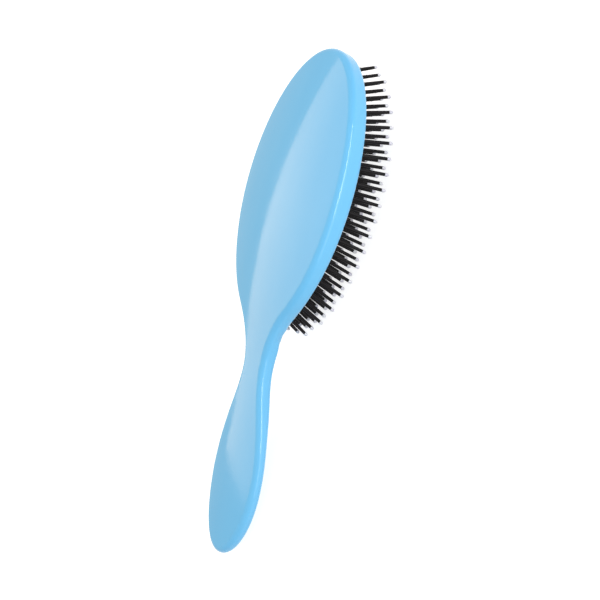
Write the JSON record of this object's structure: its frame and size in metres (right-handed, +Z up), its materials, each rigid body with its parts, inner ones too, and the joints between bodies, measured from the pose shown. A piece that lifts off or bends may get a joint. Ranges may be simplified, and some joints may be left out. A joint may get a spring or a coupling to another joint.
{
  "type": "detangling brush",
  "caption": "Oval cushion detangling brush with a domed glossy back, a slim neck and a paddle-shaped handle; sprung ball-tipped bristles sit in a rubber air cushion.",
  "frame": {"origin": "middle of the bounding box, on the table under the brush", "axes": "+Y along the brush toward the head, +Z up toward the back, bristles down, X across"},
  "size_m": [0.0708, 0.222, 0.0379],
  "materials": {
    "body_plastic": "polished injection-moulded light blue",
    "frame_plastic": "injection-moulded light blue, as the body",
    "pad_rubber": "smooth matt black rubber",
    "bristle_nylon": "black nylon, slight sheen",
    "tip_resin": "pale glossy resin drop"
  },
  "bodies": {
    "brush": {"brush_body": "body_plastic", "pad_frame": "frame_plastic", "cushion_pad": "pad_rubber"},
    "row_01": {"bristle_row_01": "bristle_nylon", "bristle_tips_01": "tip_resin"},
    "row_02": {"bristle_row_02": "bristle_nylon", "bristle_tips_02": "tip_resin"},
    "row_03": {"bristle_row_03": "bristle_nylon", "bristle_tips_03": "tip_resin"},
    "row_04": {"bristle_row_04": "bristle_nylon", "bristle_tips_04": "tip_resin"},
    "row_05": {"bristle_row_05": "bristle_nylon", "bristle_tips_05": "tip_resin"},
    "row_06": {"bristle_row_06": "bristle_nylon", "bristle_tips_06": "tip_resin"},
    "row_07": {"bristle_row_07": "bristle_nylon", "bristle_tips_07": "tip_resin"},
    "row_08": {"bristle_row_08": "bristle_nylon", "bristle_tips_08": "tip_resin"},
    "row_09": {"bristle_row_09": "bristle_nylon", "bristle_tips_09": "tip_resin"},
    "row_10": {"bristle_row_10": "bristle_nylon", "bristle_tips_10": "tip_resin"},
    "row_11": {"bristle_row_11": "bristle_nylon", "bristle_tips_11": "tip_resin"},
    "row_12": {"bristle_row_12": "bristle_nylon", "bristle_tips_12": "tip_resin"}
  },
  "joints": [
    {"name": "row_01_press", "type": "slide", "parent": "brush", "child": "row_01", "axis": [-0.3339, -0.0692, 0.9401], "range_m": [0, 0.002], "stiffness_N_per_m": 100, "springref_m": -0.002, "deforming": ["cushion_pad"]},
    {"name": "row_02_press", "type": "slide", "parent": "brush", "child": "row_02", "axis": [-0.2892, -0.0703, 0.9547], "range_m": [0, 0.002], "stiffness_N_per_m": 100, "springref_m": -0.002, "deforming": ["cushion_pad"]},
    {"name": "row_03_press", "type": "slide", "parent": "brush", "child": "row_03", "axis": [-0.2358, -0.0713, 0.9692], "range_m": [0, 0.002], "stiffness_N_per_m": 100, "springref_m": -0.002, "deforming": ["cushion_pad"]},
    {"name": "row_04_press", "type": "slide", "parent": "brush", "child": "row_04", "axis": [-0.1703, -0.0723, 0.9827], "range_m": [0, 0.002], "stiffness_N_per_m": 100, "springref_m": -0.002, "deforming": ["cushion_pad"]},
    {"name": "row_05_press", "type": "slide", "parent": "brush", "child": "row_05", "axis": [-0.0962, -0.0731, 0.9927], "range_m": [0, 0.002], "stiffness_N_per_m": 100, "springref_m": -0.002, "deforming": ["cushion_pad"]},
    {"name": "row_06_press", "type": "slide", "parent": "brush", "child": "row_06", "axis": [-0.0336, -0.0734, 0.9967], "range_m": [0, 0.002], "stiffness_N_per_m": 100, "springref_m": -0.002, "deforming": ["cushion_pad"]},
    {"name": "row_07_press", "type": "slide", "parent": "brush", "child": "row_07", "axis": [0.0346, -0.0734, 0.9967], "range_m": [0, 0.002], "stiffness_N_per_m": 100, "springref_m": -0.002, "deforming": ["cushion_pad"]},
    {"name": "row_08_press", "type": "slide", "parent": "brush", "child": "row_08", "axis": [0.1031, -0.073, 0.992], "range_m": [0, 0.002], "stiffness_N_per_m": 100, "springref_m": -0.002, "deforming": ["cushion_pad"]},
    {"name": "row_09_press", "type": "slide", "parent": "brush", "child": "row_09", "axis": [0.159, -0.0725, 0.9846], "range_m": [0, 0.002], "stiffness_N_per_m": 100, "springref_m": -0.002, "deforming": ["cushion_pad"]},
    {"name": "row_10_press", "type": "slide", "parent": "brush", "child": "row_10", "axis": [0.2287, -0.0715, 0.9709], "range_m": [0, 0.002], "stiffness_N_per_m": 100, "springref_m": -0.002, "deforming": ["cushion_pad"]},
    {"name": "row_11_press", "type": "slide", "parent": "brush", "child": "row_11", "axis": [0.2978, -0.0701, 0.9521], "range_m": [0, 0.002], "stiffness_N_per_m": 100, "springref_m": -0.002, "deforming": ["cushion_pad"]},
    {"name": "row_12_press", "type": "slide", "parent": "brush", "child": "row_12", "axis": [0.3554, -0.0686, 0.9322], "range_m": [0, 0.002], "stiffness_N_per_m": 100, "springref_m": -0.002, "deforming": ["cushion_pad"]}
  ]
}
